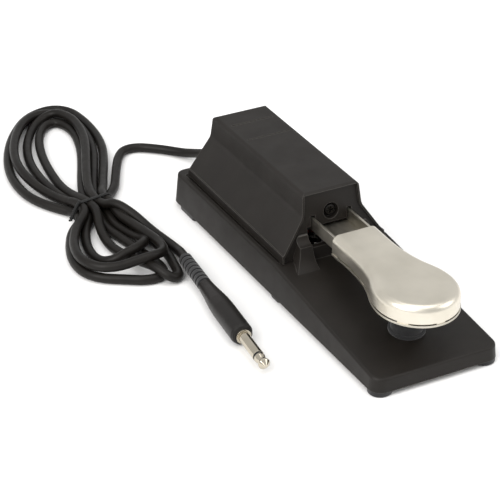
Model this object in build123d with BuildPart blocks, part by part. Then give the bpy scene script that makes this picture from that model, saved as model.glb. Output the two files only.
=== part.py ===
"""A piano-style sustain pedal: a wedge-fronted base, a bell-section housing, a sprung metal
pedal and a tied lead with a 6.35 mm mono plug.  Millimetres.  +X is the player's right, the
pedal points along -Y, +Z is up, and the feet stand on Z = 0."""

from build123d import *
from math import atan2, cos, degrees, pi, radians, sin, tan
import os

os.makedirs("parts", exist_ok=True)

# ---------------------------------------------------------------- driving dimensions
# base
base_length = 236.0
base_width = 76.0
foot_height = 3.0
ledge_z = 21.4                 # flat top of the base, under the housing
nose_z = 10.8                  # height of the deck at the front edge
deck_break_y = -5.0            # the deck slopes down in front of this line
base_wall = 2.4
base_draft = 5.0               # degrees
base_corner = 7.0
bay_half_width = 18.0          # opening in the ledge for the mechanism
bay_y = (2.0, 98.0)
plate_thickness = 1.2
plate_top = foot_height + plate_thickness

# housing
housing_z = ledge_z + 0.1
housing_top = 58.2
housing_wall = 2.2
lip_half_width = 32.0
lip_top = 26.2
flare_foot = 31.2              # half width where the flare meets the lip
waist_half_width = 18.5        # half width where the flare ends
waist_z = 45.2
top_half_width = 17.4
front_foot_y = -9.5
front_top_y = -4.0
rear_top_y = 103.5
rear_foot_y = 107.5
panel_depth = 1.5              # the front panel lies this far behind the rim
panel_rim = 1.1                # and the rim is this wide
panel_thickness = 2.0
well_z = 44.6                  # round well of the front screw
well_radius = 4.6
well_wall = 1.2
slot_half_width = 15.2         # opening for the pedal arm
slot_top = 44.4
flange_slot = (9.9, 12.7)      # half widths of the two upright parts of that opening
tongue_z = 38.0
groove_places = (67.5, 87.5)   # two grooves across the top
groove_length = 27.0
groove_width = 1.1
groove_depth = 0.5
cheek_inner = 15.3             # inner face of the cheeks beside the pedal
sill_top = 28.6                # top of the wall between the cheeks, under the pedal arm

# pedal
pedal_top = 45.3
skirt_bottom = 35.4
lip_gap = 0.6                  # open line between skirt and lower plate
lower_plate = 1.2
cover_wall = 1.3
cover_rear_y = -30.5
neck_half_width = 13.9
paddle_half_width = 22.2
paddle_centre_y = -93.0
nose_reach = 24.2
arm_half_width = 12.0
arm_sheet = 1.4
arm_top = 43.0
arm_front_y = -78.0
arm_rear_y = 60.0
web_bottom = skirt_bottom - lip_gap
web_top = web_bottom + arm_sheet
plate_bottom = web_bottom - lower_plate

# pivot, spring and switch
pivot_y = 46.0
pivot_z = 39.0
axle_radius = 2.5
running_gap = 0.05
spring_y = 12.0
spring_radius = 6.0
spring_wire = 1.4
spring_turns = 6
switch_y = 28.0

# cord and plug
cord_diameter = 5.6
cord_radius = cord_diameter / 2
exit_z = 12.0
plug_axis_z = 6.4
plug_start = (-65.2, 44.0)     # where the cord enters the plug's strain relief
plug_turn = -95.4              # heading of the plug in degrees from +X
plug_relief_length = 31.0
plug_body_length = 55.0
sleeve_radius = 3.175          # 6.35 mm phone plug
plug_body_radius = 6.25
tail_length = 6.0
hank_height = 11.0
tie_middle = (-85.5, 124.5)
tie_turn = 8.0
tie_inner_width = 31.0
tie_sheet = 0.8
tie_floor = 0.95
gland_end_y = 134.0
clamp_y = 88.0
clamp_z = plate_top + 1.6 + cord_radius
clamp_screw_places = [(-7.0, clamp_y), (7.0, clamp_y)]
lead_route = [
    (0, gland_end_y, exit_z),
    (-0.4, 146, 10.4),
    (-3, 158, 6),
    (-8.8, 168.8, 3.4),
    (-17, 177.3, 2.9),
    (-25.5, 184.9, 2.9),
    (-36.5, 186.8, 2.9),
    (-47.2, 181.5, 2.9),
    (-52.3, 170.3, 2.9),
    (-57, 159.2, 2.9),
    (-61.8, 148.4, 2.9),
    (-66.3, 137.7, 2.9),
]

# feet (middle, size and corner of each row's right one), screws and bumper
foot_places = {
    "front": (31.2, -111.2, 13.0, 13.0, 6.3),
    "middle": (32.0, -8.5, 10.0, 11.0, 3.0),
    "rear": (31.5, 99.0, 12.0, 20.0, 3.0),
}
plate_screw_places = [(x, y) for y in (-92.0, 20.0, 84.0) for x in (-28.0, 28.0)]
housing_screw_places = [(x, y) for y in (10.0, 92.0) for x in (-24.0, 24.0)]
bumper_y = -85.6
bumper_height = 6.9

# upper stop
stop_front_y = 0.8

# tabs under the pedal cover (x, y, width, length)
tab_places = [(12.0, -33.5, 8, 5), (16.5, -64.0, 8, 5), (17.0, -108.0, 8, 5), (0.0, -116.5, 5, 6)]

# rivets of the pedal
rivet_places = [(0.0, -38.0), (0.0, -70.0)]
rivet_radius = 2.0

# pivot bracket, bushes, axle and clips
bush_radius = 4.0
ear_inner = 13.2
ear_sheet = 1.5
axle_half_length = 17.0
clip_groove_x = 15.6
clip_thickness = 0.6
bracket_half_length = 13.0
bracket_screw_places = [(x, pivot_y + y) for y in (-9.0, 9.0) for x in (-7.5, 7.5)]

# spring seat
seat_top = plate_top + 3.0

# switch
stand_top = 15.0
switch_top = 29.5
plunger_radius = 2.2

# terminals and wires
terminal_x = (-3.5, 3.5)
terminal_z = 19.0
terminal_end_y = switch_y + 7.6
wire_radius = 0.65


def deck_z(y, below=0.0):
    """Height of the sloping deck at y, or of a plane a given depth below it."""
    slope = (ledge_z - nose_z) / (deck_break_y + base_length / 2)
    return ledge_z - max(0.0, deck_break_y - y) * slope - below


deck_angle = degrees(atan2(ledge_z - nose_z, deck_break_y + base_length / 2))


def save(builder, name):
    builder.part.label = name
    export_step(builder.part, f"parts/{name}.step")


# ---------------------------------------------------------------- base
def deck_wedge(below):
    """Everything above the sloping deck, lowered by a depth."""
    reach = base_length / 2 + 10
    with BuildPart() as wedge:
        with BuildSketch(Plane.YZ):
            with BuildLine():
                Polyline(
                    (deck_break_y, ledge_z - below),
                    (-reach, deck_z(-reach, below)),
                    (-reach, ledge_z + 20),
                    (deck_break_y, ledge_z + 20),
                    close=True,
                )
            make_face()
        extrude(amount=base_width, both=True)
    return wedge.part


def base_cavity():
    with BuildPart() as cavity:
        with BuildSketch(Plane.XY.offset(foot_height)):
            RectangleRounded(
                base_width - 2 * base_wall, base_length - 2 * base_wall, base_corner - base_wall
            )
        extrude(amount=ledge_z - foot_height - base_wall, taper=base_draft)
        add(deck_wedge(base_wall), mode=Mode.SUBTRACT)
    return cavity.part


def cheek_block():
    """One cheek beside the pedal slot: outlines from the side, the front and above, in common."""
    foot_y = -26.0
    with BuildPart() as cheek:
        with BuildSketch(Plane.YZ):
            with BuildLine():
                Line((-8.3, ledge_z - 2), (-6.2, 35.8))
                RadiusArc((-6.2, 35.8), (-12.2, 30.4), 6.0)
                ThreePointArc((-12.2, 30.4), (-15.4, 23.4), (foot_y, deck_z(foot_y) - 0.05))
                Polyline(
                    (foot_y, deck_z(foot_y) - 0.05), (foot_y, ledge_z - 3.4), (-8.3, ledge_z - 2)
                )
            make_face()
        extrude(amount=40)
        with BuildSketch(Plane.XZ):
            with BuildLine():
                Polyline((30.0, ledge_z - 6), (cheek_inner, ledge_z - 6), (cheek_inner, 34.0))
                RadiusArc((cheek_inner, 34.0), (cheek_inner + 1.8, 35.8), 1.8)
                Line((cheek_inner + 1.8, 35.8), (18.6, 35.8))
                RadiusArc((18.6, 35.8), (22.8, 31.6), 4.2)
                ThreePointArc((22.8, 31.6), (24.6, 24.4), (30.0, ledge_z - 2.4))
                Line((30.0, ledge_z - 2.4), (30.0, ledge_z - 6))
            make_face()
        extrude(amount=60, both=True, mode=Mode.INTERSECT)
        with BuildSketch():
            with BuildLine():
                Spline((25.2, -4.0), (25.6, -10.0), (27.9, -17.0), (30.4, foot_y - 1))
                Polyline((30.4, foot_y - 1), (10.0, foot_y - 1), (10.0, -4.0), (25.2, -4.0))
            make_face()
        extrude(amount=60, mode=Mode.INTERSECT)
    return cheek.part


def make_base():
    cavity = base_cavity()
    right_cheek = cheek_block()
    with BuildPart() as base:
        with BuildSketch(Plane.XY.offset(foot_height)):
            RectangleRounded(base_width, base_length, base_corner)
        extrude(amount=ledge_z - foot_height, taper=base_draft)
        add(deck_wedge(0), mode=Mode.SUBTRACT)
        tops = base.faces().filter_by(lambda f: f.normal_at().Z > 0.9)
        break_line = [
            e for e in tops.edges()
            if abs(e.center().Y - deck_break_y) < 0.01 and abs(e.center().X) < 0.01
        ]
        rim = [e for e in tops.edges() if e not in break_line]
        fillet(rim, 1.6)
        add(cavity, mode=Mode.SUBTRACT)
        # opening for the mechanism
        with BuildSketch(Plane.XY.offset(ledge_z - base_wall - 1)):
            with Locations((0, sum(bay_y) / 2)):
                Rectangle(2 * bay_half_width, bay_y[1] - bay_y[0])
        extrude(amount=base_wall + 2, mode=Mode.SUBTRACT)
        # shadow groove round the housing's lip
        with BuildSketch(Plane.XY.offset(ledge_z - 0.9)):
            with Locations((0, (rear_foot_y + deck_break_y) / 2)):
                Rectangle(2 * lip_half_width + 2.6, rear_foot_y - deck_break_y + 2.6)
                Rectangle(
                    2 * lip_half_width - 2, rear_foot_y - deck_break_y + 8, mode=Mode.SUBTRACT
                )
        extrude(amount=2, mode=Mode.SUBTRACT)
        add(right_cheek)
        add(right_cheek.mirror(Plane.YZ))
        # wall between the cheeks, in front of the opening for the mechanism
        with BuildSketch(Plane.XY.offset(ledge_z - 1)):
            with Locations((0, -9.9)):
                Rectangle(2 * cheek_inner + 1, 3.0)
        extrude(amount=sill_top - ledge_z + 1)
        # bosses for the bottom plate's screws
        for x, y in plate_screw_places:
            top = deck_z(y) - base_wall / 2
            with BuildSketch(Plane.XY.offset(plate_top + 0.1)):
                with Locations((x, y)):
                    Circle(3.4)
            extrude(amount=top - plate_top - 0.1)
            with BuildSketch(Plane.XY.offset(plate_top)):
                with Locations((x, y)):
                    Circle(1.3)
            extrude(amount=3.8, mode=Mode.SUBTRACT)
        # clearance holes for the housing's screws
        with BuildSketch(Plane.XY.offset(ledge_z + 1)):
            with Locations(*housing_screw_places):
                Circle(1.8)
        extrude(amount=-base_wall - 2, mode=Mode.SUBTRACT)
        # hole for the bumper's stem, square to the deck
        with BuildSketch(bumper_plane()):
            Circle(3.0)
        extrude(amount=4, both=True, mode=Mode.SUBTRACT)
        # round hole for the rear strain relief
        with BuildSketch(Plane.XZ.offset(-base_length / 2 - 5)):
            with Locations((0, exit_z)):
                Circle(4.0)
        extrude(amount=15, mode=Mode.SUBTRACT)
    save(base, "base_shell")


def bumper_plane():
    return Plane(
        origin=(0, bumper_y, deck_z(bumper_y)),
        x_dir=(1, 0, 0),
        z_dir=(0, -sin(radians(deck_angle)), cos(radians(deck_angle))),
    )


def make_bumper():
    with BuildPart() as bumper:
        with BuildSketch(bumper_plane()):
            Circle(10.0)
        extrude(amount=1.7)
        fillet(bumper.edges().group_by(Axis.Z)[-1], 0.7)
        with BuildSketch(bumper_plane().offset(1.2)):
            Circle(8.8)
        extrude(amount=bumper_height - 1.2)
        fillet(bumper.faces().sort_by(Axis.Z)[-1].edges(), 1.0)
        with BuildSketch(bumper_plane()):
            Circle(2.95)
        extrude(amount=-base_wall - 0.05)
        with BuildSketch(bumper_plane().offset(-base_wall - 0.05)):
            Circle(4.0)
        extrude(amount=-1.6, taper=30)
    save(bumper, "deck_bumper")


def make_bottom_plate():
    inset = 2 * base_wall + 0.6
    with BuildPart() as plate:
        with BuildSketch(Plane.XY.offset(foot_height)):
            RectangleRounded(base_width - inset, base_length - inset, base_corner - base_wall - 0.3)
        extrude(amount=plate_thickness)
        with BuildSketch(Plane.XY.offset(foot_height)):
            with Locations(*plate_screw_places):
                Circle(1.7)
            for x, y, *size in foot_places.values():
                with Locations((x, y), (-x, y)):
                    Circle(2.1)
            with Locations(*bracket_screw_places, *clamp_screw_places):
                Circle(1.6)
        extrude(amount=plate_thickness, mode=Mode.SUBTRACT)
    save(plate, "bottom_plate")


def make_plate_screws():
    with BuildPart() as screws:
        with BuildSketch(Plane.XY.offset(foot_height - 1.5)):
            with Locations(*plate_screw_places):
                Circle(2.8)
        extrude(amount=1.5)
        fillet(screws.edges().group_by(Axis.Z)[0], 0.8)
        with BuildSketch(Plane.XY.offset(foot_height)):
            with Locations(*plate_screw_places):
                Circle(1.25)
        extrude(amount=4.6)
    save(screws, "plate_screws")


def make_feet():
    for row, (x, y, width, length, corner) in foot_places.items():
        for side, where in (("left", -x), ("right", x)):
            with BuildPart() as foot:
                with BuildSketch():
                    with Locations((where, y)):
                        RectangleRounded(width, length, corner)
                extrude(amount=foot_height)
                fillet(foot.edges().group_by(Axis.Z)[0], 0.8)
                with BuildSketch(Plane.XY.offset(foot_height)):
                    with Locations((where, y)):
                        Circle(2.0)
                extrude(amount=plate_thickness + 0.8)
            save(foot, f"foot_{row}_{side}")


# ---------------------------------------------------------------- housing
def bell_section(inset):
    """Bell section of the housing in XZ, 20 mm in front of the origin, moved in by a wall.

    A section that is moved in runs on below the housing's foot, so that it opens the bottom."""
    foot = housing_z - (inset + 3 if inset else 0)
    with BuildSketch(Plane.XZ.offset(20)) as section:
        with BuildLine():
            right = Polyline(
                (0, housing_top),
                (top_half_width, housing_top),
                (waist_half_width, waist_z),
                (flare_foot, lip_top),
                (lip_half_width, lip_top),
                (lip_half_width, foot),
                (0, foot),
            )
            mirror(right, about=Plane.YZ)
        make_face()
        waist = section.vertices().filter_by(lambda v: abs(v.Y - waist_z) < 0.01)
        fillet(waist, 7.0)
        if inset:
            offset(amount=-inset, mode=Mode.REPLACE)
    return section.sketch


def side_outline(front_inset, rear_inset, top_inset):
    """Side outline of the housing in YZ, reaching below its foot."""
    lean = (front_top_y - front_foot_y) / (housing_top - housing_z)
    rear_lean = (rear_foot_y - rear_top_y) / (housing_top - housing_z)
    reach = 10
    with BuildSketch(Plane.YZ) as outline:
        with BuildLine():
            Polyline(
                (front_foot_y - reach * lean + front_inset, housing_z - reach),
                (front_top_y + front_inset - lean * top_inset, housing_top - top_inset),
                (rear_top_y - rear_inset + rear_lean * top_inset, housing_top - top_inset),
                (rear_foot_y + reach * rear_lean - rear_inset, housing_z - reach),
                close=True,
            )
        make_face()
    return outline.sketch


def bell_body(section_inset, front_inset, rear_inset, top_inset):
    """The bell section run the housing's length and cut to its side outline."""
    with BuildPart() as body:
        extrude(bell_section(section_inset), amount=-150)
        extrude(
            side_outline(front_inset, rear_inset, top_inset),
            amount=60,
            both=True,
            mode=Mode.INTERSECT,
        )
    return body.part


def front_pocket():
    """The shallow pocket that sets the front panel behind the housing's rim."""
    with BuildPart() as pocket:
        extrude(bell_section(panel_rim), amount=-60)
        extrude(side_outline(-20, 0, -20), amount=60, both=True, mode=Mode.INTERSECT)
        extrude(side_outline(panel_depth, -60, -20), amount=60, both=True, mode=Mode.SUBTRACT)
    return pocket.part


def make_housing():
    cavity = bell_body(
        housing_wall, panel_depth + panel_thickness, housing_wall, housing_wall
    )
    pocket = front_pocket()
    with BuildPart() as housing:
        add(bell_body(0, 0, 0, 0))
        top = housing.faces().sort_by(Axis.Z)[-1]
        fillet(top.edges(), 2.2)
        add(cavity, mode=Mode.SUBTRACT)
        add(pocket, mode=Mode.SUBTRACT)
        # slot for the pedal arm, with a tongue that hangs between the arm's flanges
        with BuildSketch(Plane.XZ.offset(15)):
            with Locations((0, (housing_z + tongue_z) / 2)):
                Rectangle(2 * slot_half_width, tongue_z - housing_z + 0.2)
            slot_middle = sum(flange_slot) / 2
            with Locations((slot_middle, 35), (-slot_middle, 35)):
                Rectangle(flange_slot[1] - flange_slot[0], 2 * (slot_top - 35))
        extrude(amount=-20, mode=Mode.SUBTRACT)
        # posts for the housing's screws
        with BuildSketch(Plane.XY.offset(housing_z)):
            with Locations(*housing_screw_places):
                Circle(3.2)
        extrude(amount=9.0)
        with BuildSketch(Plane.XY.offset(housing_z)):
            with Locations(*housing_screw_places):
                Circle(1.5)
        extrude(amount=7.6, mode=Mode.SUBTRACT)
        # round well for the front screw: a cup behind the panel with a floor
        with BuildSketch(Plane.XZ.offset(3.5)):
            with Locations((0, well_z)):
                Circle(well_radius + well_wall)
        extrude(amount=-2.9)
        with BuildSketch(Plane.XZ.offset(15)):
            with Locations((0, well_z)):
                Circle(well_radius)
        extrude(amount=-13.2, mode=Mode.SUBTRACT)
        with BuildSketch(Plane.XZ.offset(15)):
            with Locations((0, well_z)):
                Circle(1.7)
        extrude(amount=-20, mode=Mode.SUBTRACT)
        # two shallow grooves across the top near its rear
        with BuildSketch(Plane.XY.offset(housing_top - groove_depth)):
            with Locations(*[(0, y) for y in groove_places]):
                SlotOverall(groove_length, groove_width)
        extrude(amount=1, mode=Mode.SUBTRACT)
    save(housing, "housing_cover")


def make_housing_screws():
    head_z = ledge_z - base_wall
    with BuildPart() as screws:
        with BuildSketch(Plane.XY.offset(head_z - 1.8)):
            with Locations(*housing_screw_places):
                Circle(2.9)
        extrude(amount=1.8)
        fillet(screws.edges().group_by(Axis.Z)[0], 0.8)
        with BuildSketch(Plane.XY.offset(head_z)):
            with Locations(*housing_screw_places):
                Circle(1.45)
        extrude(amount=9.0)
    save(screws, "housing_screws")


# ---------------------------------------------------------------- upper stop
def make_upper_stop():
    """A moulded block behind the front panel with a felt pad under it, above the arm's web."""
    pad = 1.6
    with BuildPart() as block:
        with BuildSketch(Plane.YZ.offset(-9.0)):
            with BuildLine():
                Polyline(
                    (stop_front_y, web_top + 0.2 + pad),
                    (stop_front_y + 9, web_top + 0.2 + pad),
                    (stop_front_y + 9, 44.0),
                    (stop_front_y + 5, 51.0),
                    (stop_front_y, 51.0),
                    close=True,
                )
            make_face()
        extrude(amount=18.0)
        fillet(block.edges().filter_by(Axis.Z), 0.8)
        with BuildSketch(Plane.XZ.offset(-stop_front_y)):
            with Locations((0, well_z)):
                Circle(1.35)
        extrude(amount=-6.0, mode=Mode.SUBTRACT)
    save(block, "stop_block")
    with BuildPart() as felt:
        with BuildSketch(Plane.XY.offset(web_top + 0.2)):
            with Locations((0, stop_front_y + 4.6)):
                RectangleRounded(16.0, 7.6, 1.0)
        extrude(amount=pad)
    save(felt, "stop_pad")
    with BuildPart() as screw:
        with BuildSketch(Plane.XZ.offset(1.8)):
            with Locations((0, well_z)):
                Circle(3.2)
        extrude(amount=1.9)
        fillet(screw.edges().group_by(Axis.Y)[0], 0.9)
        with BuildSketch(Plane.XZ.offset(3.7)):
            with Locations((0, well_z)):
                Rectangle(4.0, 0.8)
                Rectangle(0.8, 4.0)
        extrude(amount=-1.0, mode=Mode.SUBTRACT)
        with BuildSketch(Plane.XZ.offset(1.8)):
            with Locations((0, well_z)):
                Circle(1.3)
        extrude(amount=-7.8)
    save(screw, "front_screw")


# ---------------------------------------------------------------- pedal
def pedal_outline(moved_in, z, rear_y=cover_rear_y):
    """Plan outline of the pedal on the plane at height z, moved in by a distance."""
    rear_x = neck_half_width - moved_in
    with BuildSketch(Plane.XY.offset(z)) as outline:
        with BuildLine():
            side = Spline(
                (rear_x, rear_y),
                (rear_x - 0.3, -47.0),
                (17.2 - moved_in, -73.0),
                (paddle_half_width - moved_in, paddle_centre_y),
                tangents=((0, -1), (0, -1)),
            )
            nose = EllipticalCenterArc(
                (0, paddle_centre_y),
                paddle_half_width - moved_in,
                nose_reach - moved_in,
                start_angle=-90,
                arc_size=90,
            )
            mirror([side, nose], about=Plane.YZ)
            Line((-rear_x, rear_y), (rear_x, rear_y))
        make_face()
    return outline.sketch


def cover_cavity():
    """Inside of the pedal cover, open below and at the rear."""
    height = pedal_top - cover_wall - skirt_bottom + 2
    with BuildPart() as cavity:
        extrude(pedal_outline(cover_wall, skirt_bottom - 2, cover_rear_y + 3), amount=height)
        ceiling_edges = cavity.faces().sort_by(Axis.Z)[-1].edges()
        fillet(ceiling_edges.filter_by(lambda e: e.center().Y < cover_rear_y), 2.2)
    return cavity.part


def make_cover():
    cavity = cover_cavity()
    with BuildPart() as cover:
        extrude(pedal_outline(0, skirt_bottom), amount=pedal_top - skirt_bottom)
        top_edges = cover.faces().sort_by(Axis.Z)[-1].edges()
        fillet(top_edges.filter_by(lambda e: e.center().Y < cover_rear_y - 1), 4.2)
        add(cavity, mode=Mode.SUBTRACT)
        # tabs under the skirt that meet the lower plate
        with BuildSketch(Plane.XY.offset(web_bottom)) as tabs:
            for x, y, width, length in tab_places:
                with Locations((x, y), (-x, y)):
                    Rectangle(width, length)
            add(pedal_outline(0, 0), mode=Mode.INTERSECT)
            add(pedal_outline(cover_wall, 0), mode=Mode.SUBTRACT)
        extrude(amount=lip_gap)
    save(cover, "pedal_cover")


def make_lower_plate():
    with BuildPart() as plate:
        extrude(pedal_outline(-0.3, plate_bottom), amount=lower_plate)
        with BuildSketch(Plane.XY.offset(plate_bottom - 1)):
            with Locations(*rivet_places):
                Circle(rivet_radius + 0.05)
        extrude(amount=lower_plate + 2, mode=Mode.SUBTRACT)
    save(plate, "pedal_plate")


def make_arm():
    """A U-channel with its open side up, pierced for the pivot bushes and the rivets."""
    length = arm_rear_y - arm_front_y
    with BuildPart() as arm:
        with BuildSketch(Plane.XZ.offset(-arm_front_y)):
            with BuildLine():
                half = Polyline(
                    (0, web_bottom),
                    (arm_half_width, web_bottom),
                    (arm_half_width, arm_top),
                    (arm_half_width - arm_sheet, arm_top),
                    (arm_half_width - arm_sheet, web_top),
                    (0, web_top),
                )
                mirror(half, about=Plane.YZ)
            make_face()
        extrude(amount=-length)
        outer_bends = arm.edges().filter_by(Axis.Y).group_by(Axis.Z)[0]
        fillet(outer_bends, 1.2)
        rear_corners = arm.edges().filter_by(Axis.X).filter_by(
            lambda e: e.center().Y > arm_rear_y - 0.1 and e.center().Z > arm_top - 0.1)
        fillet(rear_corners, 4.0)
        with BuildSketch(Plane.YZ.offset(-arm_half_width - 1)):
            with Locations((pivot_y, pivot_z)):
                Circle(bush_radius + 0.02)
        extrude(amount=2 * arm_half_width + 2, mode=Mode.SUBTRACT)
        with BuildSketch(Plane.XY.offset(web_bottom - 1)):
            with Locations(*rivet_places):
                Circle(rivet_radius + 0.05)
        extrude(amount=arm_sheet + 2, mode=Mode.SUBTRACT)
    save(arm, "pedal_arm")


def make_rivets():
    with BuildPart() as rivets:
        with BuildSketch(Plane.XY.offset(plate_bottom - 1.0)):
            with Locations(*rivet_places):
                Circle(3.6)
        extrude(amount=1.0)
        fillet(rivets.edges().group_by(Axis.Z)[0], 0.9)
        with BuildSketch(Plane.XY.offset(plate_bottom)):
            with Locations(*rivet_places):
                Circle(rivet_radius)
        extrude(amount=web_top - plate_bottom)
        with BuildSketch(Plane.XY.offset(web_top)):
            with Locations(*rivet_places):
                Circle(3.4)
        extrude(amount=1.2)
        fillet(rivets.edges().group_by(Axis.Z)[-1], 1.0)
    save(rivets, "pedal_rivets")


# ---------------------------------------------------------------- pivot
def make_bushes():
    for side, sign in (("left", -1), ("right", 1)):
        outer_face = Plane.YZ.offset(sign * (arm_half_width - arm_sheet - 0.1))
        with BuildPart() as bush:
            with BuildSketch(outer_face):
                with Locations((pivot_y, pivot_z)):
                    Circle(bush_radius)
                    Circle(axle_radius + running_gap, mode=Mode.SUBTRACT)
            extrude(amount=sign * (arm_sheet + 0.1))
            with BuildSketch(Plane.YZ.offset(sign * arm_half_width)):
                with Locations((pivot_y, pivot_z)):
                    Circle(bush_radius + 1.2)
                    Circle(axle_radius + running_gap, mode=Mode.SUBTRACT)
            extrude(amount=sign * 0.8)
        save(bush, f"pivot_bush_{side}")


def make_bracket():
    """Pressed steel bracket: a foot on the bottom plate and two ears that hold the axle."""
    outer = ear_inner + ear_sheet
    with BuildPart() as bracket:
        with BuildSketch(Plane.XY.offset(plate_top)):
            with Locations((0, pivot_y)):
                Rectangle(2 * outer, 2 * bracket_half_length)
        extrude(amount=ear_sheet)
        for sign in (-1, 1):
            with BuildSketch(Plane.YZ.offset(sign * ear_inner)):
                with BuildLine():
                    Polyline(
                        (pivot_y - bracket_half_length, plate_top),
                        (pivot_y - bracket_half_length, plate_top + 9),
                        (pivot_y - 5.4, pivot_z),
                    )
                    RadiusArc((pivot_y - 5.4, pivot_z), (pivot_y + 5.4, pivot_z), 5.4)
                    Polyline(
                        (pivot_y + 5.4, pivot_z),
                        (pivot_y + bracket_half_length, plate_top + 9),
                        (pivot_y + bracket_half_length, plate_top),
                        (pivot_y - bracket_half_length, plate_top),
                    )
                make_face()
            extrude(amount=sign * ear_sheet)
        with BuildSketch(Plane.YZ.offset(-outer - 1)):
            with Locations((pivot_y, pivot_z)):
                Circle(axle_radius + 0.02)
        extrude(amount=2 * outer + 2, mode=Mode.SUBTRACT)
        with BuildSketch(Plane.XY.offset(plate_top - 1)):
            with Locations(*bracket_screw_places):
                Circle(1.6)
        extrude(amount=ear_sheet + 2, mode=Mode.SUBTRACT)
    save(bracket, "pivot_bracket")


def make_bracket_screws():
    """Screws put in from below, with a nut on top of the bracket's foot."""
    with BuildPart() as screws:
        with BuildSketch(Plane.XY.offset(foot_height - 1.5)):
            with Locations(*bracket_screw_places):
                Circle(2.8)
        extrude(amount=1.5)
        fillet(screws.edges().group_by(Axis.Z)[0], 0.8)
        with BuildSketch(Plane.XY.offset(foot_height)):
            with Locations(*bracket_screw_places):
                Circle(1.5)
        extrude(amount=plate_thickness + ear_sheet + 3.2)
    save(screws, "bracket_screws")
    with BuildPart() as nuts:
        with BuildSketch(Plane.XY.offset(plate_top + ear_sheet)):
            with Locations(*bracket_screw_places):
                RegularPolygon(3.0, 6)
                Circle(1.55, mode=Mode.SUBTRACT)
        extrude(amount=2.3)
    save(nuts, "bracket_nuts")


def make_axle():
    with BuildPart() as axle:
        with BuildSketch(Plane.YZ.offset(-axle_half_length)):
            with Locations((pivot_y, pivot_z)):
                Circle(axle_radius)
        extrude(amount=2 * axle_half_length)
        chamfer(axle.edges().group_by(Axis.X)[0], 0.4)
        chamfer(axle.edges().group_by(Axis.X)[-1], 0.4)
        for sign in (-1, 1):
            with BuildSketch(Plane.YZ.offset(sign * clip_groove_x)):
                with Locations((pivot_y, pivot_z)):
                    Circle(axle_radius + 1)
                    Circle(axle_radius - 0.5, mode=Mode.SUBTRACT)
            extrude(amount=sign * (clip_thickness + 0.1), mode=Mode.SUBTRACT)
    save(axle, "pivot_axle")
    for side, sign in (("left", -1), ("right", 1)):
        with BuildPart() as clip:
            with BuildSketch(Plane.YZ.offset(sign * (clip_groove_x + 0.05))):
                with Locations((pivot_y, pivot_z)):
                    Circle(4.2)
                    Circle(axle_radius - 0.45, mode=Mode.SUBTRACT)
                with Locations((pivot_y, pivot_z + 3.0)):
                    Rectangle(2.4, 6.0, mode=Mode.SUBTRACT)
            extrude(amount=sign * clip_thickness)
        save(clip, f"axle_clip_{side}")


# ---------------------------------------------------------------- spring and switch
def make_spring():
    spring_top = web_bottom - 0.3
    rise = spring_top - seat_top - spring_wire - 0.1
    with BuildPart() as seat:
        with BuildSketch(Plane.XY.offset(plate_top)):
            with Locations((0, spring_y)):
                Circle(spring_radius + 3.0)
        extrude(amount=seat_top - plate_top)
        with BuildSketch(Plane.XY.offset(seat_top)):
            with Locations((0, spring_y)):
                Circle(spring_radius - spring_wire / 2 - 0.3)
        extrude(amount=6.0)
        fillet(seat.edges().group_by(Axis.Z)[-1], 1.2)
    save(seat, "spring_seat")
    with BuildPart() as spring:
        with BuildLine():
            coil = Helix(
                rise / spring_turns,
                rise,
                spring_radius,
                center=(0, spring_y, seat_top + spring_wire / 2 + 0.05),
            )
        with BuildSketch(Plane(origin=coil @ 0, z_dir=coil % 0)):
            Circle(spring_wire / 2)
        sweep(is_frenet=True)
    save(spring, "return_spring")


def make_switch():
    with BuildPart() as stand:
        with BuildSketch(Plane.XY.offset(plate_top)):
            with Locations((0, switch_y)):
                Rectangle(16, 7.6)
        extrude(amount=stand_top - plate_top)
        with BuildSketch(Plane.XZ.offset(-switch_y + 10)):
            with Locations((0, (plate_top + stand_top) / 2)):
                Rectangle(9, 5.4)
        extrude(amount=-20, mode=Mode.SUBTRACT)
    save(stand, "switch_stand")
    with BuildPart() as body:
        with BuildSketch(Plane.XY.offset(stand_top)):
            with Locations((0, switch_y)):
                Rectangle(13.0, 7.2)
        extrude(amount=switch_top - stand_top)
        fillet(body.edges().filter_by(Axis.Z), 0.8)
        with BuildSketch(Plane.XY.offset(switch_top)):
            with Locations((0, switch_y)):
                Circle(plunger_radius + 0.06)
        extrude(amount=-6.0, mode=Mode.SUBTRACT)
        for x in terminal_x:
            with BuildSketch(Plane.XZ.offset(-switch_y)):
                with Locations((x, terminal_z)):
                    Rectangle(2.4, 0.6)
            extrude(amount=-5, mode=Mode.SUBTRACT)
    save(body, "switch_body")
    with BuildPart() as plunger:
        with BuildSketch(Plane.XY.offset(switch_top - 3.8)):
            with Locations((0, switch_y)):
                Circle(plunger_radius)
        extrude(amount=web_bottom - 0.3 - switch_top + 3.8)
        fillet(plunger.edges().group_by(Axis.Z)[-1], 1.9)
    save(plunger, "switch_plunger")
    for name, x in zip(("signal", "ground"), terminal_x):
        with BuildPart() as terminal:
            with BuildSketch(Plane.XZ.offset(-switch_y - 1.0)):
                with Locations((x, terminal_z)):
                    Rectangle(2.3, 0.5)
            extrude(amount=-6.6)
        save(terminal, f"switch_terminal_{name}")


def tube(points, radii, radius):
    """A round tube along straight runs joined by tangent arcs."""
    with BuildPart() as pipe:
        with BuildLine():
            path = FilletPolyline(*points, radius=radii)
        with BuildSketch(Plane(origin=path @ 0, z_dir=path % 0)):
            Circle(radius)
        sweep()
    return pipe


def largest_radii(points):
    """For each corner, 0.45 of its shorter run over the tangent of half the turn."""
    radii = []
    for before, corner, after in zip(points, points[1:], points[2:]):
        first = Vector(*corner) - Vector(*before)
        second = Vector(*after) - Vector(*corner)
        half_turn = radians(first.get_angle(second)) / 2
        radii.append(0.45 * min(first.length, second.length) / tan(half_turn))
    return radii


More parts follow.
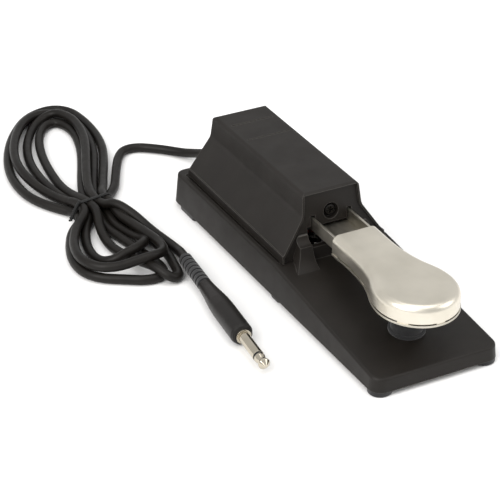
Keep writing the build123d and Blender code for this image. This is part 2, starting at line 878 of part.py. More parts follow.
def make_wires():
    """Two hook-up wires from the cord's end to the switch's terminals, over the bracket's foot."""
    for name, x in zip(("signal", "ground"), terminal_x):
        near = 0.9 if x > 0 else -0.9
        points = [
            (x, terminal_end_y + 0.05, terminal_z),
            (x, terminal_end_y + 6, terminal_z),
            (x * 0.8, 52.0, 11.0),
            (x * 0.5, 66.0, 9.0),
            (near, 78.0, clamp_z + 0.4),
            (near, 83.9, clamp_z),
        ]
        wire = tube(points, largest_radii(points), wire_radius)
        save(wire, f"wire_{name}")


# ---------------------------------------------------------------- cord entry
def make_cord_entry():
    """Grommet in the rear wall with a tapered tail, and the clamp that holds the cord inside."""
    wall_y = base_length / 2
    with BuildPart() as gland:
        with BuildSketch(Plane.XZ.offset(-(wall_y - 10))):
            with Locations((0, exit_z)):
                Circle(3.9)
        extrude(amount=-11.5)
        with BuildSketch(Plane.XZ.offset(-(wall_y + 0.2))):
            with Locations((0, exit_z)):
                Circle(5.6)
        extrude(amount=-2.0)
        with BuildSketch(Plane.XZ.offset(-(wall_y + 2.2))):
            with Locations((0, exit_z)):
                Circle(4.7)
        extrude(amount=-(gland_end_y - wall_y - 2.2), taper=4)
        with BuildSketch(Plane.XZ.offset(-(clamp_y + 6))):
            with Locations((0, exit_z)):
                Circle(cord_radius + 0.02)
        extrude(amount=-(gland_end_y - clamp_y - 8), mode=Mode.SUBTRACT)
        # relief slots across the tail
        for slot_y in (123.0, 126.5, 130.0):
            with BuildSketch(Plane.XZ.offset(-slot_y)):
                with Locations((0, exit_z)):
                    Circle(6)
                    Circle(cord_radius + 0.5, mode=Mode.SUBTRACT)
                    Rectangle(12, 1.6, mode=Mode.SUBTRACT)
            extrude(amount=-1.2, mode=Mode.SUBTRACT)
    save(gland, "cord_gland")
    inner_points = [
        (0, gland_end_y - 2.0, exit_z),
        (0, 103.0, exit_z),
        (0, 95.0, clamp_z),
        (0, clamp_y - 4.0, clamp_z),
    ]
    inner = tube(inner_points, largest_radii(inner_points), cord_radius)
    save(inner, "cord_inside")
    with BuildPart() as clamp:
        with BuildSketch(Plane.XZ.offset(-(clamp_y - 3))):
            with Locations((0, plate_top + 1.6)):
                Rectangle(20, 3.2)
            with Locations((0, clamp_z)):
                Circle(cord_radius + 1.4)
            with Locations((0, clamp_z)):
                Circle(cord_radius + 0.02, mode=Mode.SUBTRACT)
            with Locations((0, plate_top - 3)):
                Rectangle(30, 6, mode=Mode.SUBTRACT)
        extrude(amount=-6)
        with BuildSketch(Plane.XY.offset(plate_top)):
            with Locations(*clamp_screw_places):
                Circle(1.6)
        extrude(amount=5, mode=Mode.SUBTRACT)
    save(clamp, "cord_clamp")
    with BuildPart() as screws:
        with BuildSketch(Plane.XY.offset(plate_top - plate_thickness)):
            with Locations(*clamp_screw_places):
                Circle(1.5)
        extrude(amount=3.2 + plate_thickness)
        with BuildSketch(Plane.XY.offset(plate_top + 3.2)):
            with Locations(*clamp_screw_places):
                Circle(2.7)
        extrude(amount=1.8)
        fillet(screws.edges().group_by(Axis.Z)[-1], 0.8)
    save(screws, "clamp_screws")


def check_tube(name, points, radii, radius, part):
    """Print a tube's corner radii, and its volume against section times length."""
    with BuildLine() as line:
        FilletPolyline(*points, radius=radii)
    length = sum(edge.length for edge in line.edges())
    share = part.part.volume / (pi * radius ** 2 * length)
    print(name, "length", round(length, 1), "volume over section times length", round(share, 4))
    print(name, "radii", [round(r, 1) for r in radii])


def make_lead():
    radii = largest_radii(lead_route)
    lead = tube(lead_route, radii, cord_radius)
    check_tube("cord_lead", lead_route, radii, cord_radius, lead)
    save(lead, "cord_lead")


def heading(turn):
    """Unit direction in the floor's plane at a heading in degrees from +X."""
    return Vector(cos(radians(turn)), sin(radians(turn)))


def along_plug(distance):
    """Plan position at a distance along the plug from its strain relief's near end."""
    point = Vector(*plug_start) + heading(plug_turn) * distance
    return (point.X, point.Y)


def cord_flat(centre, turn):
    """Ends of a short line square to a heading, a little wider than the cord, right end first."""
    across = heading(turn - 90) * (cord_radius + 0.3)
    middle = Vector(*centre)
    right = middle + across
    left = middle - across
    return [(right.X, right.Y), (left.X, left.Y)]


def make_hank():
    """The tied bundle of turns as one solid of its outer shape, with the gaps in its loops."""
    before = Vector(*lead_route[-2])
    end = Vector(*lead_route[-1])
    lead_turn = degrees(atan2(end.Y - before.Y, end.X - before.X))
    lead_flat = cord_flat(lead_route[-1][:2], lead_turn)
    tail_flat = cord_flat(along_plug(-tail_length), plug_turn)
    with BuildPart() as hank:
        with BuildSketch(Plane.XY.offset(0.1)):
            with BuildLine():
                Polyline(*lead_flat)
                Spline(
                    lead_flat[0], (-67.0, 150.0), (-61.5, 161.5), (-55.8, 173.0),
                    (-49.5, 186.0), (-44.5, 200.0), (-41.5, 214.0), (-40.5, 232.0),
                    (-44.0, 252.0), (-54.0, 264.5), (-72.0, 259.5), (-92.0, 241.0),
                    (-108.0, 212.0), (-117.0, 182.0), (-117.0, 152.0), (-108.5, 136.0),
                    (-100.5, 124.5),
                )
                Spline(
                    (-100.5, 124.5), (-110.4, 110.0), (-120.0, 88.0), (-124.0, 68.0),
                    (-117.5, 48.0), (-103.0, 40.5), (-88.0, 33.5), (-78.0, 29.0), (-73.0, 37.0),
                    tail_flat[0],
                )
                Polyline(*tail_flat)
                Spline(
                    tail_flat[1], (-61.3, 62.0), (-65.0, 78.0), (-72.0, 97.0), (-71.5, 120.0),
                    lead_flat[1],
                )
            make_face()
            with BuildLine():
                Spline(
                    (-76.0, 229.0), (-64.0, 240.0), (-59.5, 236.0), (-60.7, 210.0),
                    (-70.3, 185.0), (-86.0, 150.0), (-91.0, 154.0), (-86.0, 192.0),
                    periodic=True,
                )
            make_face(mode=Mode.SUBTRACT)
            with BuildLine():
                Spline(
                    (-101.0, 106.0), (-112.0, 86.0), (-112.6, 66.0), (-102.8, 58.0),
                    (-96.0, 70.0), (-97.0, 92.0),
                    periodic=True,
                )
            make_face(mode=Mode.SUBTRACT)
        extrude(amount=hank_height)
        # groove under the waist, so that the tie can pass between the turns and the floor
        with BuildSketch(tie_plane()):
            Rectangle(tie_inner_width + 8, 2 * tie_floor)
        extrude(amount=2.2, both=True, mode=Mode.SUBTRACT)
    save(hank, "cord_hank")


def tie_plane():
    """Upright plane across the hank's waist, with its origin on the floor."""
    return Plane(
        origin=(*tie_middle, 0), x_dir=heading(tie_turn), z_dir=heading(tie_turn - 90)
    )


def make_tie():
    """A flat twist tie round the hank's waist, with its two ends twisted together on top."""
    hank_top = hank_height + 0.1
    with BuildPart() as tie:
        with BuildSketch(tie_plane()):
            with Locations((0, (hank_top + tie_sheet + 0.1) / 2)):
                Rectangle(tie_inner_width + 2 * tie_sheet, hank_top + tie_sheet - 0.1)
            with Locations((0, (hank_top + tie_floor) / 2)):
                Rectangle(tie_inner_width, hank_top - tie_floor, mode=Mode.SUBTRACT)
        extrude(amount=1.6, both=True)
        fillet(tie.edges().filter_by(lambda e: e.length < 4), 0.6)
        x, y = tie_middle
        with BuildSketch(Plane.XY.offset(hank_top + 0.3)):
            with Locations(Location((x + 4, y + 8), tie_turn + 60)):
                SlotOverall(22, 2.4)
        extrude(amount=1.4)
    save(tie, "hank_tie")


# ---------------------------------------------------------------- plug
def turned(profile):
    """A piece turned about the plug's axis, from points of distance along it and radius."""
    origin = (*plug_start, plug_axis_z)
    with BuildPart() as piece:
        with BuildSketch(Plane(origin=origin, x_dir=heading(plug_turn), z_dir=(0, 0, 1))):
            with BuildLine():
                Polyline((profile[0][0], 0), *profile, (profile[-1][0], 0), close=True)
            make_face()
        revolve(axis=Axis(origin, heading(plug_turn)))
    return piece


def make_plug():
    save(turned([(-tail_length, cord_radius), (0, cord_radius)]), "cord_tail")
    ribs = []
    for step in range(8):
        near = step * plug_relief_length / 8
        radius = 3.9 + 0.03 * step
        ribs += [(near, radius), (near + 2.4, radius), (near + 2.4, 3.3)]
        ribs += [(near + plug_relief_length / 8, 3.3)]
    save(turned(ribs), "plug_strain_relief")
    body_start = plug_relief_length
    body_end = body_start + plug_body_length
    body = turned([
        (body_start, 4.1),
        (body_start + 6.0, 4.5),
        (body_start + 20.0, 5.9),
        (body_start + 27.0, plug_body_radius),
        (body_end - 2.4, plug_body_radius),
        (body_end - 0.8, plug_body_radius - 0.6),
        (body_end, plug_body_radius - 1.8),
    ])
    save(body, "plug_body")
    ring_start = body_end + 21.0
    tip_start = ring_start + 1.4
    sleeve = turned([
        (body_end, 4.2),
        (body_end + 1.2, 4.2),
        (body_end + 1.2, sleeve_radius),
        (ring_start, sleeve_radius),
    ])
    save(sleeve, "plug_sleeve")
    save(turned([(ring_start, 2.95), (tip_start, 2.95)]), "plug_insulator")
    tip = turned([
        (tip_start, 3.0),
        (tip_start + 1.2, 3.0),
        (tip_start + 3.4, 2.35),
        (tip_start + 4.2, 2.35),
        (tip_start + 5.8, sleeve_radius),
        (tip_start + 6.6, sleeve_radius),
        (tip_start + 8.8, 0.9),
    ])
    save(tip, "plug_tip")


make_base()
make_bumper()
make_bottom_plate()
make_plate_screws()
make_feet()
make_housing()
make_housing_screws()
make_upper_stop()
make_cover()
make_lower_plate()
make_arm()
make_rivets()
make_bushes()
make_bracket()
make_bracket_screws()
make_axle()
make_spring()
make_switch()
make_wires()
make_cord_entry()
make_lead()
make_hank()
make_tie()
make_plug()
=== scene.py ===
from math import cos, pi, radians, sin

import bmesh
import bpy
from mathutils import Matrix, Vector


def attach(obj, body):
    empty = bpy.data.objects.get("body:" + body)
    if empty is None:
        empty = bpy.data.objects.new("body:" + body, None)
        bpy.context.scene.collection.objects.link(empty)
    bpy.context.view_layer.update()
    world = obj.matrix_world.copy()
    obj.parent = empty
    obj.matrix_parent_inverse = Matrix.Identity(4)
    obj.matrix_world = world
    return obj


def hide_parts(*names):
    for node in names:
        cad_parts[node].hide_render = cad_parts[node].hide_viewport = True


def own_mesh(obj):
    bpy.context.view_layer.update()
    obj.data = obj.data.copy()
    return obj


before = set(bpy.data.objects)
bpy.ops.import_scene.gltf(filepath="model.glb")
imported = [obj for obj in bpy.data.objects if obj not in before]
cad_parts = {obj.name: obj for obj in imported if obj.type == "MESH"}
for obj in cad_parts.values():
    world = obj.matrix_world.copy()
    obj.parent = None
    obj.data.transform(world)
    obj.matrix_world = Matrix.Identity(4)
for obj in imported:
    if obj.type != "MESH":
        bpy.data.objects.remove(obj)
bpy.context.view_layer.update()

MM = 0.001


# ---------------------------------------------------------------- camera, floor and light
camera_azimuth = radians(-27.69)      # from straight in front, towards the player's left
camera_elevation = radians(30.229)
camera_reach = 1.10413
camera_target = Vector((-0.03931, 0.015431, 0.020))
floor_half_size = 6.0
lights_aim = (0, 0, 0.03)


def make_camera():
    """A long lens in front on the left, 30 degrees above the floor."""
    data = bpy.data.cameras.new("camera")
    data.sensor_width = 36.0
    data.lens = 144.26
    data.clip_start = 0.05
    data.clip_end = 20.0
    cam = bpy.data.objects.new("camera", data)
    bpy.context.scene.collection.objects.link(cam)
    back = Vector((
        sin(camera_azimuth) * cos(camera_elevation),
        -cos(camera_azimuth) * cos(camera_elevation),
        sin(camera_elevation),
    ))
    cam.location = camera_target + back * camera_reach
    cam.rotation_euler = (-back).to_track_quat("-Z", "Y").to_euler()
    bpy.context.scene.camera = cam


def make_floor():
    """A square sheet of plain pale paper under the pedal."""
    mesh = bpy.data.meshes.new("floor")
    reach = floor_half_size
    corners = [(-reach, -reach, 0), (reach, -reach, 0), (reach, reach, 0), (-reach, reach, 0)]
    mesh.from_pydata(corners, [], [(0, 1, 2, 3)])
    floor = bpy.data.objects.new("floor", mesh)
    bpy.context.scene.collection.objects.link(floor)
    material = bpy.data.materials.new("floor_paper")
    material.use_nodes = True
    shader = material.node_tree.nodes["Principled BSDF"]
    shader.inputs["Base Color"].default_value = (0.93, 0.93, 0.93, 1)
    shader.inputs["Roughness"].default_value = 0.9
    shader.inputs["Specular IOR Level"].default_value = 0.1
    mesh.materials.append(material)


def make_light(name, where, size, power, colour=(1, 1, 1)):
    """A square soft box turned towards the pedal."""
    data = bpy.data.lights.new(name, "AREA")
    data.shape = "SQUARE"
    data.size = size
    data.energy = power
    data.color = colour
    light = bpy.data.objects.new(name, data)
    light.location = where
    light.rotation_euler = (Vector(lights_aim) - Vector(where)).to_track_quat("-Z", "Y").to_euler()
    bpy.context.scene.collection.objects.link(light)


def make_world():
    """Even white light from all round, shown without any colour grading."""
    world = bpy.data.worlds.new("studio")
    world.use_nodes = True
    background = world.node_tree.nodes["Background"]
    background.inputs["Color"].default_value = (1, 1, 1, 1)
    background.inputs["Strength"].default_value = 0.75
    bpy.context.scene.world = world
    bpy.context.scene.view_settings.view_transform = "Standard"


# ---------------------------------------------------------------- cord
def nurbs_cord(name, points, diameter):
    """A round cord along one smooth spline whose control points are given in millimetres."""
    curve = bpy.data.curves.new(name, "CURVE")
    curve.dimensions = "3D"
    curve.bevel_depth = diameter / 2
    curve.bevel_resolution = 5
    curve.resolution_u = 10
    curve.use_fill_caps = True
    spline = curve.splines.new("NURBS")
    spline.points.add(len(points) - 1)
    for slot, (x, y, z) in zip(spline.points, points):
        slot.co = (x * MM, y * MM, z * MM, 1)
    spline.order_u = 3
    spline.use_endpoint_u = True
    cord = bpy.data.objects.new(name, curve)
    bpy.context.scene.collection.objects.link(cord)
    return cord


CORD = 0.0056      # diameter in metres; the route's points below are in millimetres
LOW = 2.9          # centre height of a strand that lies on the floor
HIGH = 7.9         # and of one that lies in the hollow between two others

lead_points = [
    (0, 134, 12), (-0.4, 146, 10.4), (-2.8, 157, 6), (-7.2, 165.8, 3.4), (-13, 173.6, LOW),
    (-20.5, 180.6, LOW), (-29, 187, LOW), (-38.3, 187.4, LOW), (-45.2, 179.4, LOW),
    (-51, 169, LOW), (-57, 157, LOW), (-63.3, 144.5, LOW),
]
# how far across the waist each pass lies, from the left (negative) to the right, and its height
waist_right = [(11.4, LOW), (0.0, LOW), (8.6, HIGH), (5.7, LOW), (2.9, HIGH)]
waist_left = [(-2.9, HIGH), (-11.4, LOW), (-8.6, HIGH), (-5.7, LOW)]
waist_middle = Vector((-85.5, 124.5))
waist_turn = radians(8)
waist_across = Vector((cos(waist_turn), sin(waist_turn)))
waist_along = Vector((-sin(waist_turn), cos(waist_turn)))
waist_lift = 0.7       # the tie's band passes under the strands
waist_reach = 6        # a pass has one point this far before the tie and one as far past it


def at_waist(place, offset):
    """A route point at one of the waist's places, that far along from the tie."""
    across, height = place
    spot = waist_middle + waist_across * across + waist_along * offset
    return (spot.x, spot.y, height + waist_lift)


# each turn below the waist: down on the right, round its fold, and up again on the left
lower_turns = [
    [(-75.5, 106, LOW), (-72, 90, LOW), (-69.6, 74, LOW), (-68.8, 59, LOW), (-71.2, 45, LOW),
     (-73.5, 33.5, LOW), (-80, 32, 4.5), (-85, 41, 8.6), (-88, 54, 6), (-91.5, 68, 3.5),
     (-94.5, 83, LOW), (-93, 99, 5), (-89, 111, HIGH)],
    [(-88, 104, LOW), (-85, 88, LOW), (-82, 72, LOW), (-79.6, 58, LOW), (-77.8, 47, LOW),
     (-81, 38.5, LOW), (-91, 38, LOW), (-102, 45, LOW), (-113, 52, LOW), (-119.5, 62, LOW),
     (-120, 76, LOW), (-115.5, 91, LOW), (-107.5, 107, LOW)],
    [(-78, 105, HIGH), (-75.5, 90, 8.2), (-73, 76, 8.5), (-71.5, 63, 9), (-74.5, 51, 10.5),
     (-83, 46.5, 12.5), (-93, 48, 11), (-103, 49.5, 9), (-113, 54, 8.6), (-118.5, 65, 8.6),
     (-117.5, 78, 8.3), (-112.5, 92, 7.6), (-104, 106, 7.4)],
    [(-82, 105, LOW), (-78.6, 91, LOW), (-76, 80, 4.2), (-77.5, 70, 8.2), (-84.5, 64.5, 9.2),
     (-92.5, 62, 9), (-100.5, 62, 6), (-106.5, 69, LOW), (-107.5, 81, LOW), (-104, 95, LOW),
     (-97.5, 109, LOW)],
]
# and above it: up on the left, over the top, and down on the right
upper_turns = [
    [(-90.5, 144, 5), (-91.5, 160, LOW), (-90, 180, LOW), (-86, 204, LOW), (-79, 226, LOW),
     (-69.5, 240, LOW), (-60.5, 243, LOW), (-56, 233.5, LOW), (-56, 220, LOW), (-60.5, 202, LOW),
     (-67, 185, LOW), (-76, 165, LOW), (-83, 148, LOW)],
    [(-101, 133, LOW), (-109, 146, LOW), (-114, 161, LOW), (-114, 182, LOW), (-108.5, 204, LOW),
     (-99.5, 224, LOW), (-88, 242, LOW), (-74, 257, LOW), (-57, 262, LOW), (-46, 254, LOW),
     (-43.5, 236, LOW), (-44, 216, LOW), (-48, 196, LOW), (-55.5, 178, LOW),
     (-64, 160, 4), (-71.5, 143, 6)],
    [(-97, 137, 6), (-101, 150, 4), (-106, 168, 5), (-107.5, 186, 6.8), (-103.5, 206, 7.2),
     (-94.5, 226, 7.2), (-82.5, 244, 7), (-69, 254, 5.5), (-55.5, 254, LOW), (-49.5, 242, LOW),
     (-49, 226, LOW), (-51, 210, LOW), (-56, 192, LOW), (-64, 174, LOW), (-73, 154, LOW),
     (-77.5, 141, LOW)],
    [(-94.5, 142, LOW), (-97.5, 158, LOW), (-98.5, 176, LOW), (-96.5, 198, LOW), (-89.5, 220, LOW),
     (-78, 240, LOW), (-67, 249.5, 4), (-57.5, 248, 7), (-52.5, 234, HIGH), (-53.5, 218, HIGH),
     (-58, 200, HIGH), (-65.5, 182, HIGH), (-74, 162, HIGH), (-80, 146, HIGH)],
]
tail_points = [
    (-77.5, 112, 12.8), (-71.5, 100, 9.5), (-66.8, 86, 4.4), (-63.4, 73, LOW), (-62.4, 61, 3.4),
    (-63.3, 52, 5.4), (-65.2, 44, 6.4),
]


def cord_points():
    """Lead, four turns of the hank and the tail, as control points of one spline."""
    points = list(lead_points)
    for turn, (below, above) in enumerate(zip(lower_turns, upper_turns)):
        points += [at_waist(waist_right[turn], way) for way in (waist_reach, -waist_reach)]
        points += below
        points += [at_waist(waist_left[turn], way) for way in (-waist_reach, waist_reach)]
        points += above
    points += [at_waist(waist_right[-1], way) for way in (waist_reach, -waist_reach)]
    return points + tail_points


def spline_length(obj):
    """Length of a curve's own line, read from it with no bevel."""
    bare = obj.copy()
    bare.data = obj.data.copy()
    bare.data.bevel_depth = 0
    bpy.context.scene.collection.objects.link(bare)
    bpy.context.view_layer.update()
    mesh = bpy.data.meshes.new_from_object(bare.evaluated_get(bpy.context.evaluated_depsgraph_get()))
    line = [v.co.copy() for v in mesh.vertices]
    bpy.data.objects.remove(bare)
    bpy.data.meshes.remove(mesh)
    return sum((b - a).length for a, b in zip(line, line[1:]))


# ---------------------------------------------------------------- materials
def new_material(name):
    """An empty material and its node tree, with a principled shader wired to the output."""
    material = bpy.data.materials.new(name)
    material.use_nodes = True
    tree = material.node_tree
    return material, tree, tree.nodes["Principled BSDF"]


def noise(tree, scale, detail=2.0, stretch=(1, 1, 1)):
    """Noise over the object's own coordinates, in metres, so it moves with its piece."""
    place = tree.nodes.new("ShaderNodeTexCoord")
    mapping = tree.nodes.new("ShaderNodeMapping")
    mapping.inputs["Scale"].default_value = stretch
    texture = tree.nodes.new("ShaderNodeTexNoise")
    texture.inputs["Scale"].default_value = scale
    texture.inputs["Detail"].default_value = detail
    tree.links.new(place.outputs["Object"], mapping.inputs["Vector"])
    tree.links.new(mapping.outputs["Vector"], texture.inputs["Vector"])
    return texture.outputs["Fac"]


def vary(tree, factor, low, high, socket):
    """Drive a number socket between two values by a 0-1 factor."""
    spread = tree.nodes.new("ShaderNodeMapRange")
    spread.inputs["From Min"].default_value = 0.3
    spread.inputs["From Max"].default_value = 0.7
    spread.inputs["To Min"].default_value = low
    spread.inputs["To Max"].default_value = high
    tree.links.new(factor, spread.inputs["Value"])
    tree.links.new(spread.outputs["Result"], socket)


def tint(tree, factor, low, high, socket):
    """Drive a colour socket between two colours by a 0-1 factor."""
    ramp = tree.nodes.new("ShaderNodeValToRGB")
    ramp.color_ramp.elements[0].position = 0.3
    ramp.color_ramp.elements[0].color = (*low, 1)
    ramp.color_ramp.elements[1].position = 0.7
    ramp.color_ramp.elements[1].color = (*high, 1)
    tree.links.new(factor, ramp.inputs["Fac"])
    tree.links.new(ramp.outputs["Color"], socket)


def relief(tree, shader, factor, height, edge):
    """Bump from a factor on top of softened edges."""
    rounded = tree.nodes.new("ShaderNodeBevel")
    rounded.samples = 4
    rounded.inputs["Radius"].default_value = edge
    bump = tree.nodes.new("ShaderNodeBump")
    bump.inputs["Strength"].default_value = 0.6
    bump.inputs["Distance"].default_value = height
    tree.links.new(factor, bump.inputs["Height"])
    tree.links.new(rounded.outputs["Normal"], bump.inputs["Normal"])
    tree.links.new(bump.outputs["Normal"], shader.inputs["Normal"])


def painted_edge_highlight(tree, colour, highlight_colour, socket, reach=0.0006):
    """Painted highlight: mix a lighter colour into the surface's colour at its edges, where a
    rounded normal leaves the surface's own.
    """
    rounded = tree.nodes.new("ShaderNodeBevel")
    rounded.samples = 6
    rounded.inputs["Radius"].default_value = reach
    own = tree.nodes.new("ShaderNodeNewGeometry")
    match = tree.nodes.new("ShaderNodeVectorMath")
    match.operation = "DOT_PRODUCT"
    tree.links.new(rounded.outputs["Normal"], match.inputs[0])
    tree.links.new(own.outputs["Normal"], match.inputs[1])
    amount = tree.nodes.new("ShaderNodeMapRange")
    amount.inputs["From Min"].default_value = 0.985
    amount.inputs["From Max"].default_value = 0.85
    tree.links.new(match.outputs["Value"], amount.inputs["Value"])
    mix = tree.nodes.new("ShaderNodeMix")
    mix.data_type = "RGBA"
    # with colours, inputs 6 and 7 are the two to mix and output 2 is the result
    tree.links.new(amount.outputs["Result"], mix.inputs["Factor"])
    tree.links.new(colour, mix.inputs[6])
    mix.inputs[7].default_value = (*highlight_colour, 1)
    tree.links.new(mix.outputs[2], socket)


def plastic(name, dark, light, rough=(0.46, 0.54), grain=2600, height=0.00002, edge=0.0004):
    """Moulded plastic: a fine grain in the surface and slow changes of shade and gloss."""
    material, tree, shader = new_material(name)
    shader.inputs["Specular IOR Level"].default_value = 0.25
    tint(tree, noise(tree, 38), dark, light, shader.inputs["Base Color"])
    vary(tree, noise(tree, 90, 3), *rough, shader.inputs["Roughness"])
    relief(tree, shader, noise(tree, grain), height, edge)
    return material


def metal(name, dark, light, rough=(0.25, 0.33), stretch=(1, 1, 1), grain=900, edge=0.0003,
          height=0.000002):
    """Plated or bare metal: drawn or tumbled grain, and slow changes of shade and gloss."""
    material, tree, shader = new_material(name)
    shader.inputs["Metallic"].default_value = 1.0
    tint(tree, noise(tree, 60), dark, light, shader.inputs["Base Color"])
    vary(tree, noise(tree, grain, 3, stretch), *rough, shader.inputs["Roughness"])
    relief(tree, shader, noise(tree, grain, 2, stretch), height, edge)
    return material


def rubber(name, dark, light, rough=(0.7, 0.85), sheen=0.3):
    """Soft rubber, felt or jacket: matt, with a little sheen."""
    material, tree, shader = new_material(name)
    shader.inputs["Specular IOR Level"].default_value = 0.22
    tint(tree, noise(tree, 120), dark, light, shader.inputs["Base Color"])
    vary(tree, noise(tree, 300, 3), *rough, shader.inputs["Roughness"])
    shader.inputs["Sheen Weight"].default_value = sheen
    relief(tree, shader, noise(tree, 1800), 0.00003, 0.0004)
    return material


def paint(material, name):
    """Give a CAD node one material."""
    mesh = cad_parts[name].data
    mesh.materials.clear()
    mesh.materials.append(material)


body_black = plastic("body_black", (0.0085, 0.0068, 0.0054), (0.0125, 0.0102, 0.0084))
body_tree = body_black.node_tree
body_colour = body_tree.nodes["Principled BSDF"].inputs["Base Color"]
# painted highlight: the body's edges get a lighter colour that stands in for the light they catch
painted_edge_highlight(body_tree, body_colour.links[0].from_socket, (0.075, 0.070, 0.064), body_colour)
inner_black = plastic("inner_black", (0.008, 0.007, 0.006), (0.013, 0.011, 0.010), (0.5, 0.6))
finishes = {
    "body_plastic": body_black,
    "inner_plastic": inner_black,
    "switch_plastic": plastic("switch_red", (0.16, 0.02, 0.015), (0.2, 0.03, 0.02)),
    "soft_rubber": rubber("soft_rubber", (0.012, 0.012, 0.013), (0.020, 0.020, 0.021)),
    "felt": rubber("felt", (0.05, 0.05, 0.055), (0.10, 0.10, 0.11), (0.9, 1.0), 0.8),
    "pedal_steel": metal("pedal_plated", (0.67, 0.63, 0.54), (0.76, 0.715, 0.62),
                         (0.30, 0.38), (1, 0.3, 1), 260, 0.0006, 0.0000006),
    "plate_steel": metal("plate_steel", (0.46, 0.43, 0.37), (0.58, 0.55, 0.48),
                         (0.3, 0.42), (1, 0.15, 1)),
    "screw_steel": metal("screw_steel", (0.40, 0.40, 0.41), (0.52, 0.52, 0.53)),
    "spring_steel": metal("spring_steel", (0.30, 0.29, 0.28), (0.42, 0.41, 0.39)),
    "brass": metal("brass", (0.72, 0.52, 0.22), (0.80, 0.60, 0.28)),
    "bush_nylon": plastic("bush_nylon", (0.62, 0.60, 0.54), (0.70, 0.68, 0.62)),
    "wire_red": plastic("wire_red", (0.35, 0.02, 0.02), (0.42, 0.03, 0.03)),
    "wire_black": plastic("wire_black", (0.012, 0.012, 0.012), (0.02, 0.02, 0.02)),
    "cord_jacket": rubber("cord_jacket", (0.005, 0.004, 0.0033), (0.009, 0.0075, 0.006),
                          (0.40, 0.50), 0.0),
    "tie_plastic": plastic("tie_plastic", (0.010, 0.010, 0.010), (0.016, 0.016, 0.016)),
    "plug_plastic": plastic("plug_plastic", (0.008, 0.007, 0.006), (0.013, 0.011, 0.010),
                            (0.36, 0.44)),
    "plug_nickel": metal("plug_nickel", (0.50, 0.455, 0.37), (0.60, 0.55, 0.46),
                         (0.10, 0.16), (1, 1, 1), 600, 0.0002),
    "insulator_plastic": plastic("insulator_black", (0.01, 0.01, 0.01), (0.016, 0.016, 0.016)),
}
# a node comes in with one material, named after its slot in the record
for node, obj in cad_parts.items():
    paint(finishes[obj.data.materials[0].name], node)
# painted shade: the front screw is coloured near black so the deep well it sits in reads as a dark
# hole
paint(metal("screw_painted_shade", (0.020, 0.019, 0.018), (0.035, 0.033, 0.031), (0.4, 0.5)),
      "front_screw")


# ---------------------------------------------------------------- pieces
def strip(name, line, ups, profile, body, node, finish):
    """A mesh swept along a line: the profile's points are (across, up) at each place of it.

    It rides on the body, and stands for the CAD node where one is named.
    """
    mesh = bmesh.new()
    rings = []
    for at, (spot, up) in enumerate(zip(line, ups)):
        ahead = line[min(at + 1, len(line) - 1)] - line[max(at - 1, 0)]
        across = ahead.cross(up).normalized()
        lift = across.cross(ahead).normalized()
        rings.append([mesh.verts.new(spot + across * a + lift * b) for a, b in profile])
    for first, second in zip(rings, rings[1:]):
        for side in range(len(profile)):
            following = (side + 1) % len(profile)
            mesh.faces.new((first[side], first[following], second[following], second[side]))
    mesh.faces.new(rings[0])
    mesh.faces.new(rings[-1])
    bmesh.ops.recalc_face_normals(mesh, faces=mesh.faces[:])
    data = bpy.data.meshes.new(name)
    mesh.to_mesh(data)
    mesh.free()
    for face in data.polygons:
        face.use_smooth = True
    obj = bpy.data.objects.new(name, data)
    bpy.context.scene.collection.objects.link(obj)
    data.materials.append(finishes[finish])
    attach(obj, body)
    if node:
        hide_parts(node)
    return obj


tie_reach = 3.05       # from the centre of an outer strand to the middle of the tie's band
corner_steps = 8
tie_tail = 17.0        # length of the tie's twisted ends
tail_steps = 60
tail_gap = 0.75        # of each end from the line they wind round, before they part
tail_width = 0.62      # of the twisted ends, as a share of the band's width


def tie_loop():
    """Line and outward directions of the twist tie round the strands' outline at the waist."""
    # the strand at each corner of the outline, and the angles in which the band goes round it
    corners = [(-11.4, LOW, 180, 270), (11.4, LOW, 270, 390), (8.6, HIGH, 390, 450),
               (-8.6, HIGH, 450, 540)]
    line, ups = [], []
    for across, height, first, last in corners:
        middle = waist_middle + waist_across * across
        centre = Vector((middle.x, middle.y, height + waist_lift))
        for step in range(corner_steps + 1):
            angle = radians(first + (last - first) * step / corner_steps)
            side = waist_across * cos(angle)
            up = Vector((side.x, side.y, sin(angle)))
            line.append((centre + up * tie_reach) * MM)
            ups.append(up)
    return line, ups


def tie_ends():
    """The two ends of the twist tie, wound round each other along a short drooping line."""
    # beside the upper strand on the left
    start = waist_middle - waist_across * 9.5 + waist_along * 0.4
    heading = waist_across * -0.75 + waist_along * -0.62
    start_height, droop, half_turns = 11.9, 3.6, 9.0
    lines = []
    for phase in (0, pi):
        line, ups = [], []
        for step in range(tail_steps + 1):
            share = step / tail_steps
            # over the last fifth the two ends part
            spread = tail_gap + 1.3 * max(0, share - 0.8)
            angle = phase + share * half_turns * pi
            place = start + heading * (share * tie_tail)
            height = start_height - droop * share ** 2
            turn_out = waist_along * cos(angle) * spread
            line.append(Vector((place.x + turn_out.x, place.y + turn_out.y,
                                height + sin(angle) * spread)) * MM)
            ups.append(Vector((turn_out.x, turn_out.y, sin(angle) * spread)).normalized())
        lines.append((line, ups))
    return lines


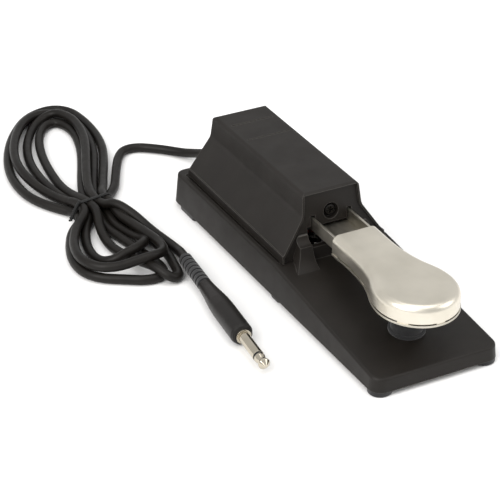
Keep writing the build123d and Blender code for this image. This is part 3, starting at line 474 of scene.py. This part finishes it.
def make_tie():
    """A flat band with a wire along its middle, round the waist, and its two twisted ends."""
    wide, wired = 1.25 * MM, 0.4 * MM      # half width of the band, radius of the wire in it
    edge, web = 0.08 * MM, 0.12 * MM       # half thickness at the band's edges and by the wire
    band = [(-wide, edge), (-wired, web), (0, wired), (wired, web), (wide, edge), (wide, -edge),
            (-wide, -edge)]
    line, ups = tie_loop()
    ring = strip("twist_tie", line + line[:1], ups + ups[:1], band, "base", "hank_tie",
                 "tie_plastic")
    # twisting draws the band's edges in
    ends = [(across * tail_width, up) for across, up in band]
    pieces = [ring]
    for count, (line, ups) in enumerate(tie_ends()):
        pieces.append(strip(f"twist_tie_end_{count + 1}", line, ups, ends, "base", None,
                            "tie_plastic"))
    return pieces


coil_radius = 6.0 * MM
coil_wire = 0.7 * MM                       # radius of the wire
coil_turns = 6
coil_centre = Vector((0, 12 * MM, 0))
coil_bottom, coil_top = 7.95 * MM, 33.75 * MM    # of the wire's centre line
flat_turns = 0.75                          # at each end, as on a spring with ground ends
steps_in_turn = 36


def make_spring():
    """The return spring as a coil, given a mesh of its own."""
    corners = [radians(45 * side) for side in range(8)]
    around = [(coil_wire * cos(angle), coil_wire * sin(angle)) for angle in corners]
    line, ups = [], []
    for step in range(coil_turns * steps_in_turn + 1):
        turned = step / steps_in_turn
        out = Vector((cos(2 * pi * turned), sin(2 * pi * turned), 0))
        climb = min(1, max(0, (turned - flat_turns) / (coil_turns - 2 * flat_turns)))
        rise = coil_bottom + (coil_top - coil_bottom) * climb
        line.append(coil_centre + out * coil_radius + Vector((0, 0, rise)))
        ups.append(out)
    spring = strip("return_coil", line, ups, around, "base", "return_spring", "spring_steel")
    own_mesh(spring)


make_camera()
make_floor()
make_world()
make_light("key", (-1.3, -0.5, 1.2), 1.3, 24, (1, 0.98, 0.955))
make_light("fill", (1.2, -0.8, 1.0), 1.0, 7)
make_light("top", (0.1, -0.1, 1.9), 1.4, 10, (1, 0.985, 0.965))

cord = nurbs_cord("cord", cord_points(), CORD)
cord_length = spline_length(cord)
cord.data.materials.append(finishes["cord_jacket"])
print("cord length", round(cord_length, 3))
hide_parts("cord_lead", "cord_hank", "cord_tail")
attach(cord, "base")
tie_pieces = make_tie()
make_spring()
